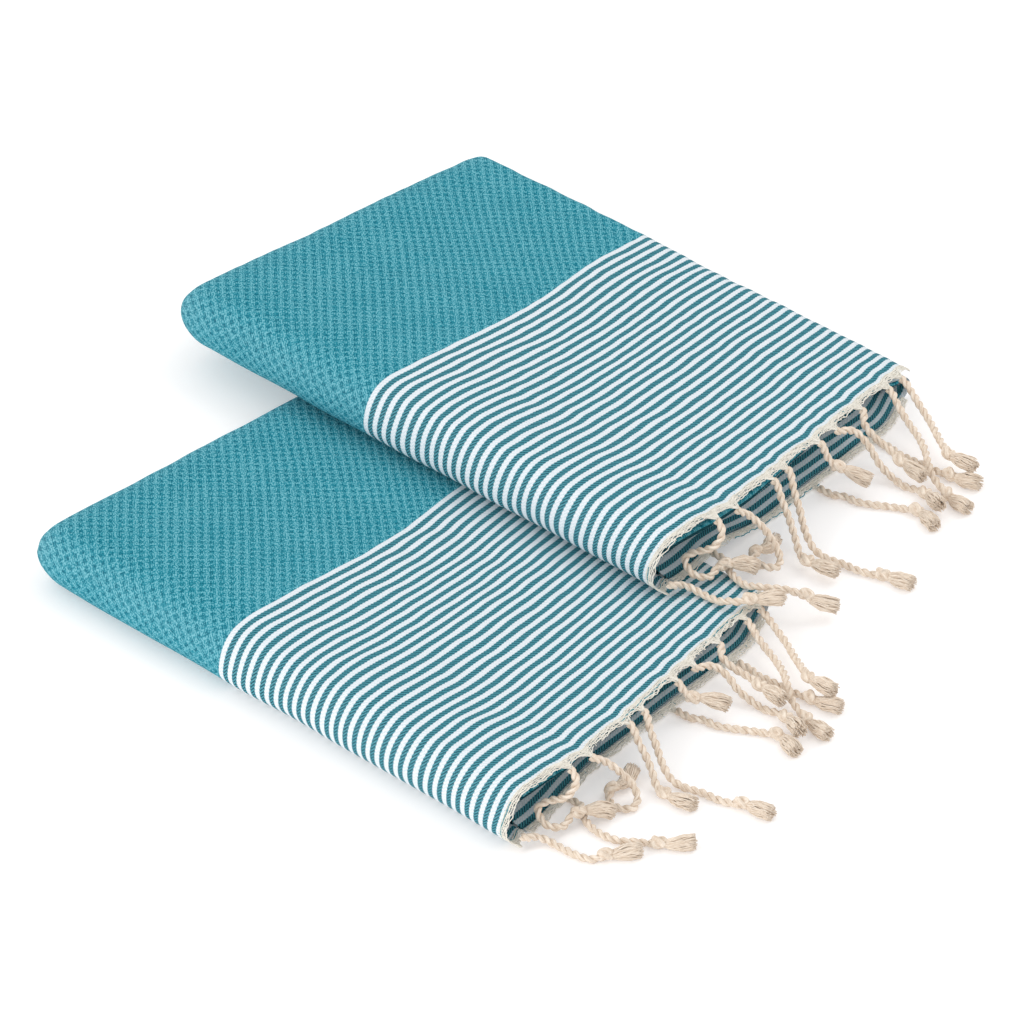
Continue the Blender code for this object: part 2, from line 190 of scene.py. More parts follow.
class UpperTowel(Towel):
    """Rests with its front strip on the lower towel and drapes down to the floor behind it."""

    def __init__(self, name, length, depth, rear_height, corner, below):
        self.below = below
        super().__init__(name, length, depth, rear_height, corner)

    def under(self, y):
        world_y = y + UPPER_SHIFT_BACK
        edge = self.below.rear_flat
        height = self.below.top(np.minimum(world_y, edge)) + REST_GAP
        return height * (1 - ease((world_y - edge) / DRAPE_LENGTH))

    def rest(self, x, y):
        past_hem = x - UPPER_SHIFT_LEFT - self.below.top_end(self.below.depth)
        height = self.under(y)
        on_cords = 2 * CORD_RADIUS * ease((past_hem + ROOTS_START) / ROOTS_RISE)
        raised = height + on_cords * height / self.under(0)
        return raised * (1 - ease((past_hem - ROOTS_END) / COME_DOWN))


middle_x = (LOWER_LENGTH - UPPER_SHIFT_LEFT) / 2
middle_y = (UPPER_SHIFT_BACK + UPPER_DEPTH) / 2
lower_corner = Vector((-middle_x, -middle_y, 0))
upper_corner = lower_corner + Vector((-UPPER_SHIFT_LEFT, UPPER_SHIFT_BACK, 0))
lower = Towel("lower_towel", LOWER_LENGTH, LOWER_DEPTH, LOWER_REAR_HEIGHT, lower_corner)
upper = UpperTowel("upper_towel", UPPER_LENGTH, UPPER_DEPTH, UPPER_REAR_HEIGHT, upper_corner,
                   lower)

# ---- Materials ----

STRIPES = 31
BAND_WIDTH = 0.304  # striped end band of the cloth
WHITE_SHARE = 0.475  # white part of each stripe's pitch; the band ends on white
STRIPE_PITCH = BAND_WIDTH / (STRIPES - 1 + WHITE_SHARE)
TWILL_PITCH = 0.0032
RIDGE_PITCH = 0.0109  # the honeycomb's ridges slant one way,
CROSS_PITCH = 0.0101  # and its cross ridges the other
STRIPE_DRIFT = 0.0011  # how far the stripes wander
YARN_GRAIN = 850.0  # scales of the cloth's noise: single yarns,
FLECK_GRAIN = 640.0  # pale flecks,
PATCH_GRAIN = 26.0  # slow changes of shade
DRIFT_GRAIN = 14.0  # and the stripes' wandering
WEAVE_RELIEF = 0.0007
FIBRE_GRAIN = 700.0
FIBRE_RELIEF = 0.0004
CLOTH_SHEEN = 0.02
YARN_SHEEN = 0.08
SPECULAR = 0.06

# Linear RGB
FIELD_DARK = (0.002, 0.125, 0.182, 1)
FIELD_MID = (0.016, 0.240, 0.316, 1)
FIELD_LIGHT = (0.165, 0.465, 0.540, 1)
TEAL_DARK = (0.003, 0.050, 0.078, 1)
TEAL_LIGHT = (0.085, 0.335, 0.400, 1)
WHITE = (0.79, 0.835, 0.865, 1)
WHITE_SHADE = (0.57, 0.65, 0.71, 1)
HEM_LIGHT = (0.940, 0.910, 0.840, 1)
HEM_DARK = (0.700, 0.660, 0.570, 1)
HEM_TEAL = (0.060, 0.290, 0.350, 1)
COTTON_LIGHT = (0.950, 0.855, 0.745, 1)
COTTON_DARK = (0.620, 0.490, 0.370, 1)


class Nodes:
    """Short calls that build one material's node tree."""

    def __init__(self, name):
        self.material = bpy.data.materials.new(name)
        self.material.use_nodes = True
        self.tree = self.material.node_tree
        self.shader = self.tree.nodes["Principled BSDF"]

    def put(self, socket, value):
        if isinstance(value, bpy.types.NodeSocket):
            self.tree.links.new(value, socket)
        else:
            socket.default_value = value

    def math(self, operation, a, b=0.0):
        node = self.tree.nodes.new("ShaderNodeMath")
        node.operation = operation
        self.put(node.inputs[0], a)
        self.put(node.inputs[1], b)
        return node.outputs[0]

    def plus(self, a, b):
        return self.math("ADD", a, b)

    def minus(self, a, b):
        return self.math("SUBTRACT", a, b)

    def times(self, a, b):
        return self.math("MULTIPLY", a, b)

    def mix(self, share, a, b):
        node = self.tree.nodes.new("ShaderNodeMix")
        node.data_type = "RGBA"
        self.put(node.inputs[0], share)
        self.put(node.inputs[6], a)
        self.put(node.inputs[7], b)
        return node.outputs[2]

    def attribute(self, name):
        node = self.tree.nodes.new("ShaderNodeAttribute")
        node.attribute_name = name
        split = self.tree.nodes.new("ShaderNodeSeparateXYZ")
        self.tree.links.new(node.outputs["Vector"], split.inputs[0])
        return split.outputs

    def vector(self, x, y, z=0.0):
        node = self.tree.nodes.new("ShaderNodeCombineXYZ")
        for socket, value in zip(node.inputs, (x, y, z)):
            self.put(socket, value)
        return node.outputs[0]

    def noise(self, vector, scale, detail=2.0, roughness=0.5):
        node = self.tree.nodes.new("ShaderNodeTexNoise")
        self.put(node.inputs["Vector"], vector)
        node.inputs["Scale"].default_value = scale
        node.inputs["Detail"].default_value = detail
        node.inputs["Roughness"].default_value = roughness
        return node.outputs["Fac"]

    def fit(self, value, low, high, to_low=0.0, to_high=1.0):
        node = self.tree.nodes.new("ShaderNodeMapRange")
        for socket, number in zip(node.inputs, (value, low, high, to_low, to_high)):
            self.put(socket, number)
        return node.outputs[0]

    def wave(self, value, period):
        """Cosine of a length, from 0 to 1."""
        turns = self.times(value, 2 * math.pi / period)
        return self.times(self.plus(self.math("COSINE", turns), 1.0), 0.5)

    def bump(self, height, strength, distance):
        node = self.tree.nodes.new("ShaderNodeBump")
        node.inputs["Strength"].default_value = strength
        node.inputs["Distance"].default_value = distance
        self.tree.links.new(height, node.inputs["Height"])
        self.tree.links.new(node.outputs[0], self.shader.inputs["Normal"])

    def finish(self, colour, roughness, sheen):
        self.put(self.shader.inputs["Base Color"], colour)
        self.put(self.shader.inputs["Roughness"], roughness)
        self.shader.inputs["Specular IOR Level"].default_value = SPECULAR
        self.shader.inputs["Sheen Weight"].default_value = sheen
        self.shader.inputs["Sheen Roughness"].default_value = 0.6
        return self.material


def woven_cloth():
    """Turquoise honeycomb field and a band of white stripes on teal twill.

    The attribute "cloth" holds the distance from the hem, the place across the cloth, and how
    worn the cloth is there, or -1 for painted shade: the white stripes tinted toward teal on the
    flap that lies in shade under the top hem."""
    n = Nodes("woven_cloth")
    along, across, wear_and_shade = n.attribute("cloth")
    place = n.vector(along, across)
    drift = n.fit(n.noise(place, DRIFT_GRAIN, 2.0), 0.3, 0.7, -STRIPE_DRIFT, STRIPE_DRIFT)
    wavy = n.plus(along, drift)
    yarns = n.noise(place, YARN_GRAIN, 2.0, 0.7)

    # Stripes: a triangle wave over the pitch, its edge stepped by the twill's slanting lines.
    steep = n.plus(n.times(along, 1.1), across)
    twill = n.wave(steep, TWILL_PITCH)
    turns = n.plus(n.math("DIVIDE", wavy, STRIPE_PITCH), 0.5 - WHITE_SHARE / 2)
    triangle = n.math("ABSOLUTE", n.minus(n.math("FRACT", turns), 0.5))
    stepped = n.plus(triangle, n.times(n.minus(twill, 0.5), 0.07))
    white = n.fit(stepped, WHITE_SHARE / 2 + 0.02, WHITE_SHARE / 2 - 0.02)
    dashes = n.plus(n.times(twill, 0.95), n.fit(yarns, 0.38, 0.62, -0.20, 0.25))
    teal = n.mix(dashes, TEAL_DARK, TEAL_LIGHT)
    pale = n.plus(n.times(twill, 0.60), n.fit(yarns, 0.38, 0.62, 0.0, 0.75))
    band = n.mix(white, teal, n.mix(pale, WHITE_SHADE, WHITE))

    # Honeycomb: two slanting sets of ridges round dark hollows, lines of yarn and pale flecks.
    lean = n.plus(along, across)
    rise = n.minus(along, across)
    ridges = n.wave(rise, RIDGE_PITCH)
    hollows = n.times(n.minus(1.0, ridges), n.minus(1.0, n.wave(lean, CROSS_PITCH)))
    cells = n.minus(n.times(ridges, 0.30), hollows)
    threads = n.plus(n.wave(rise, RIDGE_PITCH / 4), n.wave(lean, CROSS_PITCH / 4))
    flecks = n.noise(n.vector(n.times(lean, 0.55), rise), FLECK_GRAIN, 1.0, 0.6)
    speckle = n.fit(flecks, 0.38, 0.62, -0.85, 0.85)
    patches = n.fit(n.noise(place, PATCH_GRAIN, 3.0, 0.6), 0.3, 0.7, -0.12, 0.12)
    tone = n.plus(n.times(cells, 0.90), n.times(threads, 0.34))
    tone = n.plus(n.plus(tone, speckle), patches)
    field = n.mix(n.fit(tone, -0.95, 0.05), FIELD_DARK, FIELD_MID)
    field = n.mix(n.fit(tone, 0.15, 1.10), field, FIELD_LIGHT)

    in_band = n.fit(wavy, BAND_WIDTH + 0.0004, BAND_WIDTH - 0.0004)
    # Painted shade: where the third value of "cloth" is negative, the white stripes are tinted 8%
    # toward teal, for the flap that lies in shade under the top hem.
    painted_flap_shade = n.times(n.math("MAXIMUM", n.times(wear_and_shade, -1.0), 0.0), white)
    band = n.mix(n.times(painted_flap_shade, 0.08), band, TEAL_LIGHT)
    colour = n.mix(in_band, field, band)
    wear = n.math("MAXIMUM", wear_and_shade, 0.0)
    colour = n.mix(n.times(wear, n.fit(yarns, 0.3, 0.7, 0.03, 0.15)), colour, WHITE)

    relief = n.plus(n.times(cells, n.minus(1.0, in_band)), n.times(twill, 0.40))
    relief = n.plus(relief, n.times(white, n.times(in_band, 0.4)))
    relief = n.plus(relief, n.times(yarns, 0.8))
    n.bump(relief, 0.55, WEAVE_RELIEF)
    return n.finish(colour, n.fit(yarns, 0.2, 0.8, 0.82, 0.98), CLOTH_SHEEN)


def yarn_material(name, dark, light, other=None):
    """Cotton yarn; the attribute "yarn" holds the place along it, round it, and its tint."""
    n = Nodes(name)
    along, round_it, tint = n.attribute("yarn")
    fibres = n.noise(n.vector(n.times(along, 0.25), round_it, tint), FIBRE_GRAIN, 3.0, 0.65)
    grime = n.noise(n.vector(along, tint), 60.0, 2.0)
    colour = n.mix(n.fit(fibres, 0.30, 0.68), dark, light)
    colour = n.mix(n.fit(grime, 0.35, 0.75, 0.0, 0.25), colour, dark)
    if other:
        colour = n.mix(n.math("GREATER_THAN", tint, 0.95), colour, other)
    n.bump(fibres, 0.5, FIBRE_RELIEF)
    return n.finish(colour, n.fit(fibres, 0.2, 0.8, 0.80, 0.97), YARN_SHEEN)


cloth_look = woven_cloth()
hem_look = yarn_material("hem_yarn", HEM_DARK, HEM_LIGHT, HEM_TEAL)
cotton_look = yarn_material("tassel_cotton", COTTON_DARK, COTTON_LIGHT)

# ---- Mesh helpers ----


def new_piece(name, points, faces, look, attribute, values, corner, uv=None):
    """A smooth mesh given in its towel's frame, with one stored attribute for its material."""
    mesh = bpy.data.meshes.new(name)
    placed = np.asarray(points, float).reshape(-1, 3) + np.array(corner)
    mesh.from_pydata(placed.tolist(), [], faces)
    mesh.polygons.foreach_set("use_smooth", [True] * len(mesh.polygons))
    stored = mesh.attributes.new(attribute, "FLOAT_VECTOR", "POINT")
    stored.data.foreach_set("vector", np.asarray(values, np.float32).ravel())
    if uv is not None:
        corners = np.empty(len(mesh.loops), int)
        mesh.loops.foreach_get("vertex_index", corners)
        layer = mesh.uv_layers.new(name="OFBake")
        layer.data.foreach_set("uv", np.asarray(uv, np.float32)[corners].ravel())
    mesh.materials.append(look)
    mesh.update()
    return add_object(name, mesh)


def grid_faces(rows, columns):
    """Quads between the points of a grid."""
    start = (np.arange(rows - 1)[:, None] * columns + np.arange(columns - 1)).ravel()
    return np.stack([start, start + columns, start + columns + 1, start + 1], 1).tolist()


def waves(x, y, seed, shortest, longest, count):
    """A smooth field, about 1 high, from waves in all directions."""
    draw = random.Random(seed)
    total = 0.0
    for _ in range(count):
        turn = draw.uniform(0, math.pi)
        number = 2 * math.pi / draw.uniform(shortest, longest)
        shift = draw.uniform(0, 2 * math.pi)
        total = total + np.sin(number * (x * math.cos(turn) + y * math.sin(turn)) + shift)
    return total / math.sqrt(count)


def lengths_along(path):
    """The length along a path up to each of its points."""
    steps = np.linalg.norm(np.diff(np.asarray(path), axis=0), axis=1)
    return np.concatenate([[0], np.cumsum(steps)])


def tube(path, radius, sides):
    """Points and faces of a thin tube along a path, with open ends."""
    path = np.asarray(path, float)
    _, normals, sideways = carried_frames(path)
    angles = np.linspace(0, 2 * math.pi, sides, endpoint=False)
    radii = np.broadcast_to(np.asarray(radius, float), (len(path),))
    ring = (normals[:, None] * np.cos(angles)[None, :, None]
            + sideways[:, None] * np.sin(angles)[None, :, None])
    points = path[:, None] + ring * radii[:, None, None]
    faces = []
    for i in range(len(path) - 1):
        for j in range(sides):
            a = i * sides + j
            b = i * sides + (j + 1) % sides
            faces.append((a, b, b + sides, a + sides))
    return points.reshape(-1, 3), faces


def carried_frames(path):
    """A path's directions, and two more square to them that don't spin as it turns."""
    tangents = np.gradient(path, axis=0)
    tangents /= np.linalg.norm(tangents, axis=1)[:, None] + 1e-12
    start = np.cross(tangents[0], (0, 0, 1.0))
    if np.linalg.norm(start) < 0.1:
        start = np.cross(tangents[0], (0, 1.0, 0))
    normal = start / np.linalg.norm(start)
    normals = []
    for tangent in tangents:
        normal = normal - tangent * (normal @ tangent)
        normal = normal / np.linalg.norm(normal)
        normals.append(normal)
    normals = np.array(normals)
    return tangents, normals, np.cross(tangents, normals)


YARN_ROUND = 0.002  # how far the fibres' pattern moves from a yarn's side to its middle


class Yarns:
    """Collects many thin tubes into one mesh."""

    def __init__(self):
        self.points = []
        self.values = []
        self.faces = []
        self.count = 0

    def add(self, path, radius, sides, tint, close=True):
        points, faces = tube(path, radius, sides)
        along = np.repeat(lengths_along(path), sides)
        round_it = np.tile(np.sin(np.linspace(0, 2 * math.pi, sides, endpoint=False)), len(path))
        self.points.append(points)
        self.values.append(np.stack([along + tint, round_it * YARN_ROUND,
                                     np.full(len(points), tint)], 1))
        self.faces += [tuple(i + self.count for i in face) for face in faces]
        if close:
            last = self.count + len(points) - sides
            self.faces.append(tuple(range(self.count + sides - 1, self.count - 1, -1)))
            self.faces.append(tuple(range(last, last + sides)))
        self.count += len(points)

    def piece(self, name, look, corner):
        return new_piece(name, np.concatenate(self.points), self.faces, look, "yarn",
                         np.concatenate(self.values), corner)


# ---- Tassels: the cords, their knots and their tufts ----

# The routes are those of the CAD part. Each has the hem it grows from, the share of the depth
# where it starts, and the points (forward, back, hang, lift) that follow its straight exit, in
# mm but for hang, the share of the root's height that is left. Hang and lift may be left out.
TASSELS = [
    ("front", 0.033, [(5, 9, 0.6), (11, 16, 0.2), (24, 18), (39, 19), (51, 24), (59, 36),
        (76, 56)]),
    ("top", 0.183, [(10, -3, 0.82), (8, -12, 0.62), (-5, -19, 0.45), (-8, -26, 0.32),
        (4, -29, 0.16), (13, -20, 0.05, 3), (12, -6, 0, 9), (22, 12, 0, 7), (33, 20, 0, 3)]),
    ("bottom", 0.217, [(12, -6), (24, -13), (40, -16), (56, -13), (68, -4), (80, 3), (92, 12),
        (104, 24)]),
    ("top", 0.250, [(7, 8, 0.85), (14, 16, 0.6), (22, 22, 0.3), (30, 20, 0.08), (33, 11), (25, 4),
        (14, 6), (8, 16, 0, 2), (11, 28, 0, 4), (4, 46, 0, 6)]),
    ("top", 0.400, [(12, -2, 0.75), (23, -5, 0.5), (33, -9, 0.25), (41, -13, 0.06), (50, -15, 0, 1),
        (64, -14, 0, 2), (82, -11)]),
    ("top", 0.458, [(13, -6, 0.8), (24, -11, 0.55), (34, -16, 0.3), (46, -20, 0.1), (58, -19),
        (73, -15), (88, -13), (100, -9), (112, -4), (136, -1)]),
    ("top", 0.594, [(7, 1, 0.8), (13, 4, 0.6), (18, 9, 0.42, 4), (32, 18, 0.1, 10),
        (40, 22, 0, 10)]),
    ("bottom", 0.592, [(8, 2), (14, 5), (26, 6), (38, 12), (48, 18), (60, 24), (74, 27), (98, 18)]),
    ("top", 0.664, [(6, 8, 0.95), (10, 16, 0.8), (20, 19, 0.55), (31, 18, 0.3), (43, 19, 0.1),
        (56, 20), (70, 22, 0, 2), (81, 19, 0, 5), (105, 7, 0, 10)]),
    ("top", 0.769, [(9, -6, 0.85), (20, -7, 0.65), (31, -5, 0.45, 1), (43, -6, 0.25, 5),
        (53, -8, 0.1, 9), (80, -12, 0, 12)]),
    ("bottom", 0.806, [(14, -2), (30, -1), (48, 0), (59, 2), (66, 2), (93, 8)]),
    ("top", 0.883, [(15, -5, 0.85), (30, -10, 0.6), (46, -16, 0.35, 3), (60, -24, 0.1, 8),
        (70, -32, 0, 9), (81, -40, 0, 5), (96, -45, 0, 1), (110, -50), (134, -54)]),
    ("top", 0.939, [(13, -3, 0.9), (27, -8, 0.7), (41, -13, 0.5), (57, -22, 0.3, 3),
        (72, -31, 0.1, 8), (84, -37, 0, 11), (96, -38, 0, 12), (113, -37, 0, 12)]),
]

CORD_STEP = 0.0012  # distance between the rope mesh's rings
PLY_PITCH = 0.0142  # length of one turn of the two plies
PLY_OFFSET = 0.00155  # from the rope's middle to each ply's
PLY_RADIUS = 0.00172
ROPE_LEAD = 0.010  # the bottom tassels reach back to their drawn-in hem
PLY_SIDES = 9
PLY_SWELL = 0.10  # share by which a ply swells and thins along itself
ROPE_IN_TUFT = 0.011  # the rope's plies run this far into the brushed tuft
FRONT_EXIT = 0.6  # the front tassel leaves this far down the roll's end
CURVE_STEPS = 24  # between two points of a route
TUFT_FLARE = 1.4  # the tuft reaches its full width before its end
KNOT_PLY = 0.0021
KNOT_STEPS = 72
TUFT_CORE = [0.0026, 0.0032, 0.0036, 0.0037, 0.0036, 0.0033, 0.0024]
TUFT_CORE_SHARE = 0.78  # the solid core's share of the tuft's length
TUFT_STRANDS = 120
TUFT_STEPS = 8
TUFT_WAIST = 0.0018  # the strands leave the knot this far from its middle
STRAND_RADIUS = 0.00062
STRAND_WAVE = 0.0004


def smooth_route(points, step):
    """Evenly spaced points on a smooth curve through the given ones, and its length."""
    chain = [2 * points[0] - points[1]] + points + [2 * points[-1] - points[-2]]
    fine = []
    for before, start, end, after in zip(chain, chain[1:], chain[2:], chain[3:]):
        for i in range(CURVE_STEPS):
            t = i / CURVE_STEPS
            fine.append(0.5 * (2 * start + (end - before) * t
                               + (2 * before - 5 * start + 4 * end - after) * t * t
                               + (3 * start - before - 3 * end + after) * t ** 3))
    fine.append(points[-1].copy())
    fine = np.array([list(p) for p in fine])
    along = lengths_along(fine)
    count = max(round(along[-1] / step), 6)
    targets = np.linspace(0, along[-1], count + 1)
    return np.stack([np.interp(targets, along, fine[:, k]) for k in range(3)], 1), targets


def tassel_radius(to_end):
    """Half thickness of the whole tassel: cord, knot, then the spreading tuft."""
    if to_end <= TUFT_LENGTH:
        share = 1 - to_end / TUFT_LENGTH
        flare = min(share * TUFT_FLARE, 1)
        return TUFT_ROOT_RADIUS + (TUFT_END_RADIUS - TUFT_ROOT_RADIUS) * flare
    if to_end <= TUFT_LENGTH + KNOT_LENGTH:
        share = (to_end - TUFT_LENGTH) / KNOT_LENGTH
        return CORD_RADIUS + (KNOT_RADIUS - CORD_RADIUS) * math.sin(math.pi * share)
    return CORD_RADIUS


def tassel_root(towel, edge, y):
    """Where a tassel grows out of its hem."""
    if edge == "front":
        reach = ROLL_RADIUS - y
        rise = math.sqrt(ROLL_RADIUS ** 2 - reach ** 2)
        height = towel.under(ROLL_RADIUS) + ROLL_RADIUS - FRONT_EXIT * rise
        return Vector((towel.length, y, height))
    if edge == "top":
        return Vector((towel.top_end(y), y, towel.top(y) - HEM_THICKNESS / 2))
    return Vector((towel.bottom_end(y), y, towel.under(y) + CORD_RADIUS))


def tassel_route(towel, edge, share, route):
    """The line the tassel follows, from the hem to the tuft's end, and the place along it."""
    root = tassel_root(towel, edge, share * towel.depth)
    points = [root + Vector((CORD_STRAIGHT, 0, 0))]
    for forward, back, *above in route:
        hang, lift = (*above, 0, 0)[:2]
        x = root.x + forward / 1000
        y = root.y + back / 1000
        rest = towel.rest(x, y)
        points.append(Vector((x, y, rest + CORD_RADIUS + lift / 1000
                              + hang * max(root.z - rest - CORD_RADIUS, 0))))
    line, along = smooth_route(points, CORD_STEP)
    for k, (x, y, z) in enumerate(line):
        line[k, 2] = max(z, towel.rest(x, y) + tassel_radius(along[-1] - along[k]))
    lead = ROPE_LEAD if edge == "bottom" else 0.0
    count = round((lead + CORD_STRAIGHT - CORD_EXIT) / CORD_STEP)
    steps = [np.array(root + Vector((CORD_EXIT - lead + CORD_STEP * i, 0, 0)))
             for i in range(count)]
    return np.concatenate([steps, line]), root - Vector((lead, 0, 0))


def distances_to_end(line):
    steps = np.linalg.norm(np.diff(line, axis=0), axis=1)
    return np.concatenate([np.cumsum(steps[::-1])[::-1], [0]])


def rope_piece(name, line, corner):
    """Two plies laid round each other, each a little uneven."""
    _, normals, sideways = carried_frames(line)
    along = lengths_along(line)
    turns = 2 * math.pi * along / PLY_PITCH
    yarns = Yarns()
    for ply in (0, 1):
        angle = turns + math.pi * ply
        path = line + PLY_OFFSET * (normals * np.cos(angle)[:, None]
                                    + sideways * np.sin(angle)[:, None])
        swell = PLY_SWELL * np.sin(along * 310 + 2 * ply + line[0, 1] * 900)
        yarns.add(path, PLY_RADIUS * (1 + swell), PLY_SIDES, 0.1 + 0.3 * ply)
    return yarns.piece(name, cotton_look, corner)


def tassel_end(name, line, towel, draw, corner):
    """The overhand knot and the brushed tuft behind it."""
    to_end = distances_to_end(line)
    tangents, normals, sideways = carried_frames(line)

    def at(distance):
        """The line's middle and directions at a distance from its end."""
        k = int(np.argmin(np.abs(to_end - distance)))
        return line[k], tangents[k], normals[k], sideways[k]

    yarns = Yarns()
    middle, forward, first, second = at(TUFT_LENGTH + KNOT_LENGTH / 2)
    loop = (KNOT_RADIUS - KNOT_PLY) / 3
    turn = draw.uniform(0, 2 * math.pi)
    path = []
    for i in range(KNOT_STEPS + 1):
        t = 2 * math.pi * i / KNOT_STEPS
        out = (2 + math.cos(3 * t)) * loop
        path.append(middle + first * out * math.cos(2 * t + turn)
                    + second * out * math.sin(2 * t + turn)
                    + forward * (math.sin(3 * t) * (KNOT_LENGTH / 2 - KNOT_PLY)))
    yarns.add(path, KNOT_PLY, 10, 0.25, close=False)

    last = len(TUFT_CORE) - 1
    core = [at(TUFT_LENGTH + 0.001 - i / last * TUFT_LENGTH * TUFT_CORE_SHARE)[0]
            for i in range(last + 1)]
    yarns.add(core, TUFT_CORE, PLY_SIDES, 0.5)
    for _ in range(TUFT_STRANDS):
        angle = draw.uniform(0, 2 * math.pi)
        spread = draw.random() ** 0.35 * TUFT_END_RADIUS * 0.96
        shorter = 0.06 * (spread / TUFT_END_RADIUS) ** 4
        reach = TUFT_LENGTH * (draw.uniform(0.90, 0.98) - shorter)
        curl = draw.uniform(-0.5, 0.5)
        phase = draw.uniform(0, 2 * math.pi)
        path = []
        for i in range(TUFT_STEPS + 1):
            share = i / TUFT_STEPS
            base, _, one, two = at(TUFT_LENGTH + 0.002 - share * reach)
            width = TUFT_WAIST + (spread - TUFT_WAIST) * min(share * 2.0, 1) ** 0.8
            here = angle + curl * share
            wave = STRAND_WAVE * math.sin(9 * share + phase) * min(share * 3, 1)
            sway = STRAND_WAVE * math.cos(8 * share + phase)
            point = (base + one * (width * math.cos(here) + wave)
                     + two * (width * math.sin(here) + sway))
            point[2] = max(point[2], towel.rest(point[0], point[1]) + 0.0005)
            path.append(point)
        radii = [STRAND_RADIUS] * (TUFT_STEPS - 1) + [0.00052, 0.00034]
        yarns.add(path, radii, 5, draw.random() * 0.9)
    return yarns.piece(name, cotton_look, corner)


def build_tassels(towel, top_body):
    """All tassels of one towel; those of the top hem ride on top_body."""
    draw = random.Random(towel.name)
    for number, (edge, share, route) in enumerate(TASSELS, start=1):
        node = f"{towel.name}_tassel_{number:02d}"
        line, root = tassel_route(towel, edge, share, route)
        roped = line[distances_to_end(line) >= TUFT_LENGTH - ROPE_IN_TUFT]
        rope = rope_piece(node + "_cord", roped, towel.corner)
        end = tassel_end(node + "_tuft", line, towel, draw, towel.corner)
        body = top_body if edge == "top" else towel.name
        for piece in (rope, end):
            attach(piece, body)
            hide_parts(node)


# ---- Cloth: four zigzag layers, folded in thirds ----

LEVELS = 11  # steps between the 12 layers of a third-folded stack
LAYER_REACH = 0.0022  # how far each inner layer of the front roll stays behind the last
EDGE_STAGGER = 0.0025  # the selvedges of the layers don't quite meet
FOLD_START = 0.004  # the layers begin to turn this far inside the left end
MIDDLE_FOLD_INSET = 0.020  # the middle fold of the cloth stops short of the hems
FLAP_FOLD_INSET = 0.050  # and still shorter in the bottom third
HIDDEN_HEM_INSET = 0.012
FLAP_SLOPE = 0.045  # the last layer slopes down to its hem over this length,
FLAP_HEIGHT = 0.0022  # which lies this high
LIP_SHARE = 0.05  # how much of the rear height the top selvedge stays in front
FOLD_WEAR = 0.35  # how worn the cloth is along its left folds,
FOLD_WEAR_REACH = 0.007  # over this length,
CREST_WEAR = 0.28  # along its turn over the front roll,
CREST_PLACE = 0.72  # at this share of the turn,
CREST_REACH = 0.016  # over this length,
EDGE_WEAR = 0.8  # and at its selvedges
EDGE_WEAR_REACH = 0.0018
UNDER_WEAR_REACH = 0.002
HIDDEN_TURN = 0.040  # the outer layer goes on this far under itself past the left fold
LAYER_LENGTH = 0.5  # a quarter of the cloth's length
MIDDLE_NOSE = 0.003  # how far the inner folds stand out where they turn
LEFT_NOSE = 0.0025
TURN_MIDDLE = 3.5  # the rear fold turns round this level of the stack
REAR_GAP = 0.0005
BULGE = 0.0007  # the front roll's unevenness
SOFTNESS = (("slow", 0.0008, 0.100, 0.240, 7),  # height, shortest and longest wave, and how many
            ("fine", 0.0003, 0.018, 0.045, 9))
CALM_START = 0.045
CALM_LENGTH = 0.035
HEM_PULL = 0.0019  # each tassel draws the cover's end out this far,
HEM_PULL_WIDTH = 0.007  # over this width,
PULL_REACH = 0.020  # fading over this length;
CORNER_BACK = 0.007  # its front corner stays back this far,
CORNER_BACK_WIDTH = 0.011  # over this width

ROLL_ARC = math.pi * ROLL_RADIUS
FLAT_RUN = PANEL_START - ROLL_RADIUS


def field_edge(towel, v):
    """Where the plain field meets the stripes, along the cover from the floor to the rear."""
    places = np.array([0, 0.040, FLAT_RUN + ROLL_ARC, 0.190, 0.265, 0.350, 0.405])
    edges = np.array([0.209, 0.201, 0.193, 0.197, 0.195, 0.181, 0.178])
    smooth = sum(np.interp(v + step, places, edges) for step in np.linspace(-0.02, 0.02, 9)) / 9
    return smooth * towel.length / LOWER_LENGTH


def softness(towel, x, y):
    """Undulation of the stack's top, which ends where the upper towel lies on the lower one."""
    rise = sum(height * waves(x, y, f"{towel.name} {kind}", shortest, longest, count)
               for kind, height, shortest, longest, count in SOFTNESS)
    if towel is lower:
        rise = rise * (1 - ease((y - UPPER_SHIFT_BACK + CALM_START) / CALM_LENGTH))
    return rise


def round_left(towel, x, y, z):
    """Draws a height in near the left folds: the top stays crisp, the roll's underside rises."""
    inside = clamp01((x - towel.left(y)) / LEFT_END_ROUNDING)
    near = 1 - np.sqrt(1 - (1 - inside) ** 2)
    behind = np.maximum(y, ROLL_RADIUS)
    low = towel.under(behind)
    height = towel.top(behind) - low
    under_roll = 1 - ease((y - 0.006) / 0.020)
    bottom = (LEFT_END_FLAT + (LEFT_END_RAISE - LEFT_END_FLAT) * under_roll) * near
    share = 1 - LEFT_END_DROP * near - bottom
    return low + height * bottom + (z - low) * share


def rear_lip(towel, layer):
    return towel.depth - LIP_SHARE * towel.rear_height - EDGE_STAGGER * layer


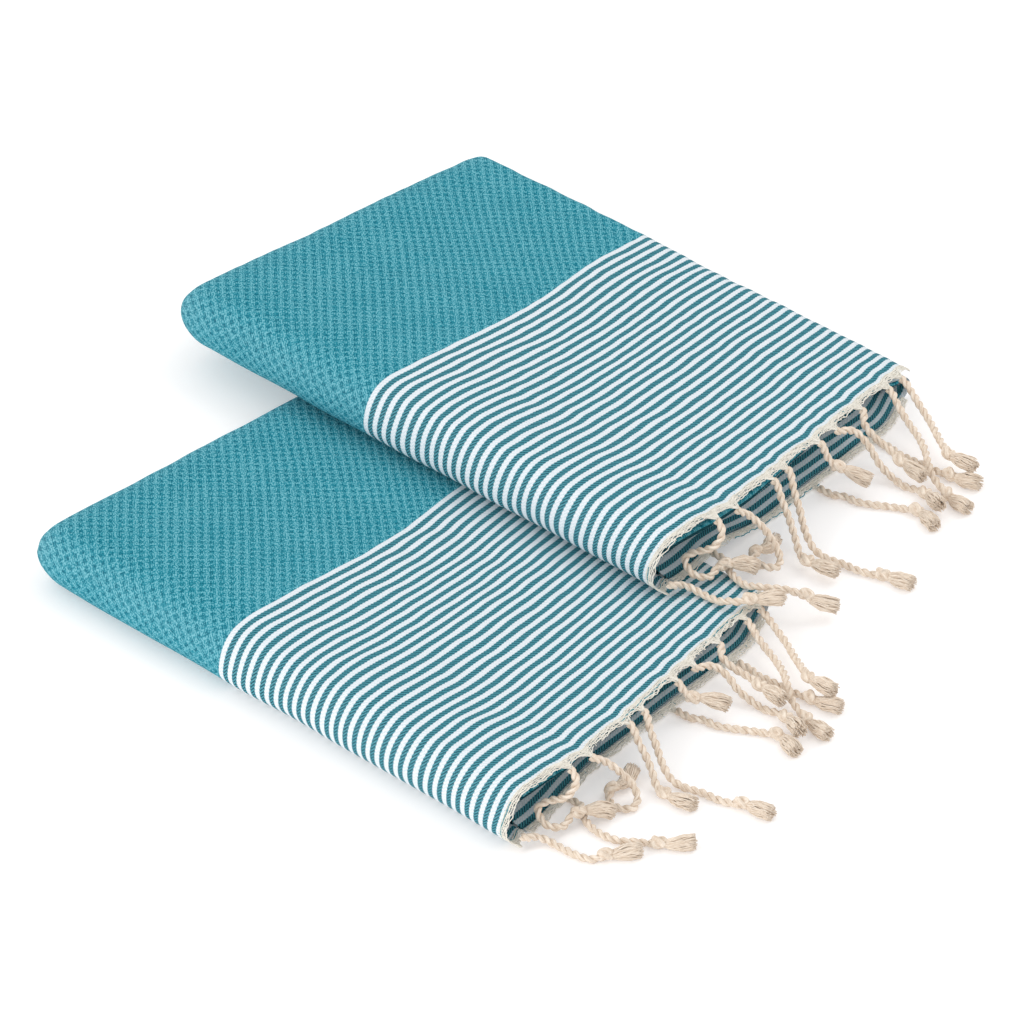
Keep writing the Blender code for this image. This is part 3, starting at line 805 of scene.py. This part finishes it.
def top_section(towel, layer, v):
    """Depth and height along the front roll and the top third, for a layer from 0, outermost."""
    angle = np.clip((v - FLAT_RUN) / ROLL_RADIUS, 0, math.pi)
    reach = ROLL_RADIUS - LAYER_REACH * layer
    half = ROLL_RADIUS * (1 - 2 * layer / LEVELS)
    run = rear_lip(towel, 0) - ROLL_RADIUS
    past = np.maximum(v - FLAT_RUN - ROLL_ARC, 0)
    y_top = ROLL_RADIUS + past * (rear_lip(towel, layer) - ROLL_RADIUS) / run
    y_under = PANEL_START - np.minimum(v, FLAT_RUN)
    y = np.where(v < FLAT_RUN, y_under,
                 np.where(past > 0, y_top, ROLL_RADIUS - reach * np.sin(angle)))
    middle = towel.under(ROLL_RADIUS) + ROLL_RADIUS
    z = np.where(v < FLAT_RUN, towel.level(y, layer / LEVELS),
                 np.where(past > 0, towel.level(y, 1 - layer / LEVELS),
                          middle - half * np.cos(angle)))
    return y, z


def top_length(towel):
    return FLAT_RUN + ROLL_ARC + rear_lip(towel, 0) - ROLL_RADIUS


INNER_START = PANEL_START + 0.006
COVER_STEP = 0.0027  # mesh steps across the cloth
UNDER_STEP = 0.0045
INNER_STEP = 0.006
COVER_COLUMNS = 185  # and columns along it
UNDER_COLUMNS = 112
INNER_COLUMNS = (60, 62, 90)


def rear_turn(towel):
    """The depth at which the rear fold begins to turn."""
    return towel.depth - TURN_MIDDLE * towel.rear_height / LEVELS - REAR_GAP


def base_section(towel, layer, w):
    """Depth and height from the inner third's selvedge round the rear fold to the front."""
    step = towel.rear_height / LEVELS
    half = (TURN_MIDDLE - layer) * step
    turn_y = rear_turn(towel)
    run = turn_y - INNER_START
    arc = math.pi * TURN_MIDDLE * step
    angle = np.clip((w - run) / (TURN_MIDDLE * step), 0, math.pi)
    after = np.maximum(w - run - arc, 0)
    y_inner = INNER_START + EDGE_STAGGER * 0.5 * layer * clamp01(1 - w / run) + np.minimum(w, run)
    y = np.where(w < run, y_inner, np.where(after > 0, turn_y - after,
                                            turn_y + half * np.sin(angle)))
    flat_y = np.minimum(y, towel.rear_flat)
    middle = towel.level(np.minimum(turn_y, towel.rear_flat), TURN_MIDDLE / LEVELS)
    z = np.where(w < run, towel.level(flat_y, (2 * TURN_MIDDLE - layer) / LEVELS),
                 np.where(after > 0, towel.level(flat_y, layer / LEVELS),
                          middle + half * np.cos(angle)))
    return y, z


def base_length(towel):
    turn_y = rear_turn(towel)
    arc = math.pi * TURN_MIDDLE * towel.rear_height / LEVELS
    return (turn_y - INNER_START) + arc + (turn_y - PANEL_START)


def hem_pull(towel, v, roots):
    """How far the tassels draw the cover's end out, with small waves between them."""
    pull = sum(HEM_PULL * np.exp(-((v - root) / HEM_PULL_WIDTH) ** 2) for root in roots)
    back = CORNER_BACK * np.exp(-(v / CORNER_BACK_WIDTH) ** 2)
    return pull - back - 0.0008 + 0.0006 * waves(v, 0 * v, towel.name + " hem", 0.02, 0.06, 5)


def top_roots(towel):
    """Places along the cover where its tassels grow."""
    roots = []
    for edge, share, _ in TASSELS:
        y = share * towel.depth
        if edge == "top":
            roots.append(FLAT_RUN + ROLL_ARC + y - ROLL_RADIUS)
        elif edge == "front":
            roots.append(FLAT_RUN + ROLL_RADIUS * (math.pi / 2 - math.acos(FRONT_EXIT)))
    return roots


def lift_and_round(towel, x, y, z):
    """Adds the stack's softness in step with the height in it, then rounds the left end."""
    low = towel.under(np.maximum(y, ROLL_RADIUS))
    height = np.maximum(towel.top(np.maximum(y, ROLL_RADIUS)) - low, 0.001)
    share = clamp01((z - low) / height)
    z = z + softness(towel, x, y) * share
    drop = FRONT_DROP * (LEFT_DROP_SHARE + (1 - LEFT_DROP_SHARE) * ease(x / LEFT_DROP_REACH))
    z = z - drop * share * clamp01(1 - y / FRONT_DROP_DEPTH) ** 2
    bulge = BULGE * waves(x, z * 2, towel.name + " roll", 0.05, 0.16, 6)
    y = y + bulge * clamp01((ROLL_RADIUS - y) / ROLL_RADIUS)
    return np.stack([x, y, round_left(towel, x, y, z)], -1)


def turned(layer, steps):
    """The layers passed while a fold turns, and how far the turn is from its nose."""
    angles = np.linspace(0, math.pi, steps + 2)[1:-1]
    return [(layer + 0.5 - 0.5 * math.cos(a), 1 - math.sin(a)) for a in angles]


UV_MARGIN = 0.003


class Sheet:
    """A sheet built from columns of points across the cloth, each on a layer at a place in x."""

    def __init__(self, towel, section, length, step, first_across):
        count = round(length / step) + 1
        self.towel = towel
        self.section = section
        self.v = np.linspace(0, length, count)
        self.across = first_across + self.v
        self.points = []
        self.values = []

    def add(self, layer, x, along, wear_and_shade=0.0, height=None, pull=0.0):
        """x and along are functions of the section's depth, or of its depth and x."""
        y, z = self.section(self.towel, layer, self.v)
        place = x(y)
        if height is not None:
            z = height(place, y, z)
        points = lift_and_round(self.towel, place, y, z)
        points[:, 0] += pull
        self.points.append(points)
        self.values.append(np.stack([along(place, y) + 0 * y, self.across, wear_and_shade + 0 * y], 1))

    def piece(self, name, look):
        columns = len(self.points)
        points = np.stack(self.points, 1)
        values = np.stack(self.values, 1)
        rows = len(self.v)
        faces = grid_faces(rows, columns)
        u = lengths_along(points[rows // 2])
        uv = np.stack(np.broadcast_arrays(u / u[-1], (self.v / self.v[-1])[:, None]), -1)
        uv = UV_MARGIN + (1 - 2 * UV_MARGIN) * uv
        return new_piece(name, points, faces, look, "cloth", values, self.towel.corner,
                         uv.reshape(-1, 2))

    def add_strip(self, layer, start, end, columns, along, wear_and_shade=0.0, height=None):
        """Evenly spread columns between two edges, each a function of the section's depth."""
        for share in np.linspace(0, 1, columns):
            self.add(layer, lambda y, s=share: start(y) + (end(y) - start(y)) * s, along, wear_and_shade,
                     height)

    def add_outer(self, start, along, wear, columns, pull=lambda reach: 0.0):
        """The outer layer, from its hem round the left fold and a little way under itself."""
        left = self.towel.left
        end = fold_line(self.towel)
        for i in range(columns):
            share = i / (columns - 1)
            folded = FOLD_WEAR * math.exp(-(1 - share) * self.towel.length / FOLD_WEAR_REACH)
            reach = share * (self.towel.length - HEM_WIDTH)
            self.add(0, lambda y, s=share: start(y) + (end(y) - start(y)) * s, along,
                     wear + folded, pull=pull(reach))
        for layer, nose in turned(0, 6):
            self.add(layer, lambda y, n=nose: left(y) + FOLD_START * n, along, wear + FOLD_WEAR)
        for inside in np.linspace(0, HIDDEN_TURN, 6):
            self.add(1, lambda y, d=inside: left(y) + FOLD_START + d, along, wear)


def fold_line(towel, inset=0.0):
    return lambda y: towel.left(y) + FOLD_START + inset


def cover_wear(v):
    """The cloth is a little paler along its turn over the front roll and at its selvedge."""
    crest = FLAT_RUN + CREST_PLACE * ROLL_ARC
    turn = CREST_WEAR * np.exp(-((v - crest) / CREST_REACH) ** 2)
    return turn + EDGE_WEAR * np.exp(-(v[-1] - v) / EDGE_WEAR_REACH)


def build_cover(towel):
    """The outer layer of the top third and the front roll, with its left fold."""
    sheet = Sheet(towel, top_section, top_length(towel), COVER_STEP, 0.0)
    v = sheet.v
    pull = hem_pull(towel, v, top_roots(towel))
    border = field_edge(towel, v)
    y_outer, _ = top_section(towel, 0, v)
    end = towel.top_end(y_outer) - HEM_WIDTH

    def along(place, y):
        striped = BAND_WIDTH * (end - place) / (end - border)
        return np.where(place > border, striped, BAND_WIDTH + border - place)

    sheet.add_outer(lambda y: end, along, cover_wear(v), COVER_COLUMNS,
                    lambda reach: pull * math.exp(-reach / PULL_REACH))
    return sheet.piece(towel.name + "_top_cloth", cloth_look)


def build_top_layers(towel):
    """The three inner layers of the top third and the front roll."""
    sheet = Sheet(towel, top_section, top_length(towel), INNER_STEP, 0.0)
    border = field_edge(towel, sheet.v)

    def end(inset):
        return lambda y: towel.top_end(y) - HEM_WIDTH - inset

    add_layers(sheet, end, border, MIDDLE_FOLD_INSET, HIDDEN_HEM_INSET)
    return sheet.piece(towel.name + "_top_layers", cloth_look)


def add_layers(sheet, end, border, middle_inset, hem_inset, height=None):
    """Zigzag of the inner layers 1, 2 and 3, from the left fold to the hidden hem."""
    field = LAYER_LENGTH + BAND_WIDTH
    middle = end(middle_inset)
    hem = end(hem_inset)
    fold = fold_line(sheet.towel)
    first, second, third = INNER_COLUMNS
    sheet.add_strip(1, fold_line(sheet.towel, HIDDEN_TURN), middle, first,
                    lambda x, y: field + x)
    for layer, nose in turned(1, 5):
        sheet.add(layer, lambda y, n=nose: middle(y) + MIDDLE_NOSE * (1 - n),
                  lambda x, y: field + x)
    sheet.add_strip(2, middle, fold, second, lambda x, y: field + LAYER_LENGTH - x)
    for layer, nose in turned(2, 5):
        sheet.add(layer, lambda y, n=nose: fold(y) - LEFT_NOSE * (1 - n),
                  lambda x, y: field - x)

    def striped(x, y):
        from_hem = BAND_WIDTH * (hem(y) - x) / (hem(y) - border)
        shown = FLAP_STRIPE_SHIFT if height else 0
        return np.where(x > border, from_hem + shown, BAND_WIDTH + border - x)

    # In the bottom third, the last layer gets -1 for painted shade: its white stripes are tinted
    # toward teal where the open flap lies in shade under the top hem.
    sheet.add_strip(3, fold, hem, third, striped, -1.0 if height else 0.0, height)


INNER_HEM_INSET = 0.012
FLAP_DRAW = 0.011  # the bottom hem is drawn in this far behind the front roll,
FLAP_DRAW_DEPTH = 0.100  # over this depth,
REAR_DRAW = 0.014  # and this much more towards the rear fold,
REAR_DRAW_DEPTH = 0.055  # over this depth
HEM_CHANGE_END = 0.012  # the hidden end has become the flap's this far into the rear fold,
HEM_CHANGE = 0.050  # over this length
BASE_INSET = 0.004  # the inner layers end this far inside the outer one
FLAP_SET_IN = 0.020  # past the fold, the flap's slope sets in over this length
STRIPED_RUN = 0.283  # from the bottom hem to the plain field
FLAP_STRIPE_SHIFT = 0.005  # the layer in the open flap begins on a teal stripe


def flap_end(towel, y):
    """The outer edge of the bottom hem's yarns."""
    front = ease((y - PANEL_START) / FLAP_DRAW_DEPTH)
    rear = ease((y - towel.depth + REAR_DRAW_DEPTH) / REAR_DRAW_DEPTH)
    return towel.bottom_end(y) - FLAP_DRAW * front - REAR_DRAW * rear


def base_end(towel, w):
    """Where the base cloth's layers end, from the inner third round the rear fold."""
    run = rear_turn(towel) - INNER_START
    hidden = ease((run + HEM_CHANGE_END - w) / HEM_CHANGE)
    return lambda y: ((towel.top_end(y) - INNER_HEM_INSET) * hidden
                      + flap_end(towel, y) * (1 - hidden) - HEM_WIDTH)


def build_under_cloth(towel):
    """The outer layer of the bottom third, round the rear fold and over the inner third."""
    length = base_length(towel)
    sheet = Sheet(towel, base_section, length, UNDER_STEP, -length)
    end = base_end(towel, sheet.v)

    def along(x, y):
        return (end(y) - x) * BAND_WIDTH / STRIPED_RUN

    edge = EDGE_WEAR * np.exp(-sheet.v / UNDER_WEAR_REACH)
    sheet.add_outer(end, along, edge, UNDER_COLUMNS)
    return sheet.piece(towel.name + "_under_cloth", cloth_look)


def build_base_layers(towel):
    """The three inner layers of the bottom and inner thirds; the last slopes down to its hem."""
    length = base_length(towel)
    sheet = Sheet(towel, base_section, length, INNER_STEP, -length)
    outer_end = base_end(towel, sheet.v)
    turning = rear_turn(towel) + REAR_GAP - INNER_START
    bottom = ease((sheet.v - turning) / FLAP_SET_IN)
    border = outer_end(sheet.v * 0) - STRIPED_RUN

    def end(inset):
        return lambda y: outer_end(y) - BASE_INSET - inset * bottom

    def sloped(x, y, z):
        down = bottom * (1 - ease((end(0)(y) - x) / FLAP_SLOPE))
        return z + (towel.under(y) + FLAP_HEIGHT - z) * down

    add_layers(sheet, end, border, FLAP_FOLD_INSET, 0.0, sloped)
    return sheet.piece(towel.name + "_base_layers", cloth_look)


# ---- Hems: the frayed ends of the cloth ----

WARP_REACHES = (0.35, 0.50, 0.65, 0.80)  # the short warp ends' reach, as shares of the hem
WARP_RADIUS = 0.00028
FAN_WARPS = 22  # warps gathered into each tassel
FAN_RADIUS = 0.00040
FAN_WIDTH = 0.0085
WEFT_ROWS = 8
WEFT_SPACING = 0.00092
WEFT_RADIUS = 0.00042
WEFT_STEP = 0.0026
BOTTOM_HEM_HEIGHT = 0.0018
BOTTOM_HEM_SHORT = 0.012  # the bottom hem ends this far from the rear


def frayed(name, towel, edge, length, roots, root_reach):
    """The last wefts, loose along the edge, short warp ends between them, and at each tassel a
    fan of warps that gathers into it; edge(v, out) is a point of the edge."""
    draw = random.Random(name)
    yarns = Yarns()

    def lay(ends, radius, tint):
        """One warp from a place in the edge to another, given as (v, out, height)."""
        (v0, out0, high0), (v1, out1, high1) = ends
        path = []
        for share in (0, 0.2, 0.4, 0.6, 0.8, 1.0):
            point = edge(v0 + (v1 - v0) * share ** 1.5, out0 + (out1 - out0) * share)
            point[2] += high0 + (high1 - high0) * share + 0.0003 * math.sin(9 * share + v0 * 4000)
            path.append(point)
        yarns.add(path, radius, 5, tint)

    v = 0.0006
    while v < length:
        v += draw.uniform(0.0012, 0.0024)
        here = min(v, length)
        reach = HEM_WIDTH * draw.choice(WARP_REACHES)
        lay(((here, -0.0020, 0.0002), (here + draw.uniform(-0.002, 0.002), reach,
                                       draw.uniform(-0.0004, 0.0010))),
            WARP_RADIUS, draw.random())
    for root in roots:
        for _ in range(FAN_WARPS):
            start = root + draw.uniform(-FAN_WIDTH, FAN_WIDTH)
            lay(((min(max(start, 0), length), -0.0015, 0.0003),
                 (root + draw.uniform(-0.0014, 0.0014), root_reach + draw.uniform(0.0, 0.002),
                  draw.uniform(-0.0008, 0.0008))), FAN_RADIUS, draw.random() * 0.94)
    for row in range(WEFT_ROWS):
        out = -0.0008 + row * WEFT_SPACING
        start = 0.0
        while start < length - 0.006:
            stop = min(start + draw.uniform(0.050, 0.150), length)
            count = max(int((stop - start) / WEFT_STEP), 3)
            shift = draw.uniform(0, 6)
            path = []
            for i in range(count + 1):
                here = start + (stop - start) * i / count
                wander = (0.00022 * math.sin(here * 260 + shift)
                          + 0.00016 * math.sin(here * 710 + 2 * shift))
                point = edge(here, out + wander * (1 + 0.4 * row))
                point[2] += 0.0003 * math.cos(here * 900 + row * 2) + 0.0006
                path.append(point)
            yarns.add(path, WEFT_RADIUS, 5, draw.random())
            start = stop + draw.uniform(0.0, 0.004) * row
    return yarns.piece(name, hem_look, towel.corner)


def build_top_hem(towel):
    length = top_length(towel)
    roots = top_roots(towel)
    fine = np.linspace(0, length, 700)
    y, z = top_section(towel, 0, fine)
    x = towel.top_end(y) - HEM_WIDTH
    points = lift_and_round(towel, x, y, z)
    points[:, 0] += hem_pull(towel, fine, roots)

    def edge(v, out):
        v = min(max(v, 0), length)
        point = np.array([np.interp(v, fine, points[:, k]) for k in range(3)])
        point[0] += out
        return point

    return frayed(towel.name + "_top_fringe", towel, edge, length, roots, HEM_WIDTH + 0.001)


def build_bottom_hem(towel):
    start = PANEL_START
    length = towel.depth - BOTTOM_HEM_SHORT - start
    roots = [share * towel.depth - start for kind, share, _ in TASSELS if kind == "bottom"]

    def edge(v, out):
        y = start + min(max(v, 0), length)
        height = towel.under(y) + BOTTOM_HEM_HEIGHT
        return np.array([flap_end(towel, y) - HEM_WIDTH + out, y, height])

    return frayed(towel.name + "_bottom_fringe", towel, edge, length, roots, HEM_WIDTH)


# ---- Putting a towel together ----

BEND_LEVEL = 0.36  # a share of the roll's height; the height made from it is not used


def build_towel(towel, opens):
    cover = build_cover(towel)
    top_layers = build_top_layers(towel)
    under_cloth = build_under_cloth(towel)
    base_layers = build_base_layers(towel)
    top_fringe = build_top_hem(towel)
    bottom_fringe = build_bottom_hem(towel)
    name = towel.name

    moving = (cover, top_layers, top_fringe)
    resting = (under_cloth, base_layers, bottom_fringe)
    top_body = name
    if opens:
        # The top panel's pieces only get their placing baked in, and the top hem's tassels ride on
        # a body of their own.
        top_body = name + "_flap"
        low = float(towel.under(ROLL_RADIUS)) + FRONT_HEIGHT * BEND_LEVEL
        for piece in moving:
            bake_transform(piece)
    else:
        for piece in moving:
            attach(piece, name)
    for piece in resting:
        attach(piece, name)

    for piece, slot, nodes in (
            (cover, "striped_cloth", ("top_panel", "front_fold")),
            (top_layers, "field_cloth", ("top_panel", "front_fold")),
            (under_cloth, "striped_cloth", ("bottom_panel", "rear_fold")),
            (base_layers, "field_cloth", ("bottom_panel", "inner_panel", "rear_fold")),
            (top_fringe, "hem_cloth", ("top_hem", "front_hem")),
            (bottom_fringe, "hem_cloth", ("bottom_hem",))):
        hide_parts(*[f"{name}_{node}" for node in nodes])

    build_tassels(towel, top_body)


build_towel(lower, opens=False)
build_towel(upper, opens=True)

# ---- Floor and light ----

FLOOR_SIZE = 30.0
FLOOR_GAP = 0.0003
FLOOR_LOOK = {"Base Color": (0.84, 0.84, 0.84, 1), "Emission Color": (1.0, 0.94, 0.93, 1),
              "Emission Strength": 0.23, "Roughness": 0.9, "Specular IOR Level": 0.0}
WORLD_STRENGTH = 0.95
LIGHTS = (("key", (0.8, 1.9, 3.2), 2.0, 20),  # name, place, diameter and watts
          ("fill", (-0.6, -3.4, 1.5), 2.6, 44))


def build_stage():
    mesh = bpy.data.meshes.new("floor")
    half = FLOOR_SIZE / 2
    mesh.from_pydata([(-half, -half, 0), (half, -half, 0), (half, half, 0), (-half, half, 0)],
                     [], [(0, 1, 2, 3)])
    look = Nodes("floor")
    for socket, value in FLOOR_LOOK.items():
        look.shader.inputs[socket].default_value = value
    mesh.materials.append(look.material)
    floor = add_object("floor", mesh)
    floor.location.z = -FLOOR_GAP

    world = bpy.data.worlds.new("studio")
    world.use_nodes = True
    background = world.node_tree.nodes["Background"]
    background.inputs["Color"].default_value = (1, 1, 1, 1)
    background.inputs["Strength"].default_value = WORLD_STRENGTH
    bpy.context.scene.world = world
    bpy.context.scene.view_settings.view_transform = "Standard"

    for name, place, size, power in LIGHTS:
        light = bpy.data.lights.new(name, "AREA")
        light.shape = "DISK"
        light.size = size
        light.energy = power
        softbox = add_object(name, light)
        softbox.location = place
        softbox.rotation_euler = Vector(place).to_track_quat("Z", "Y").to_euler()


build_stage()
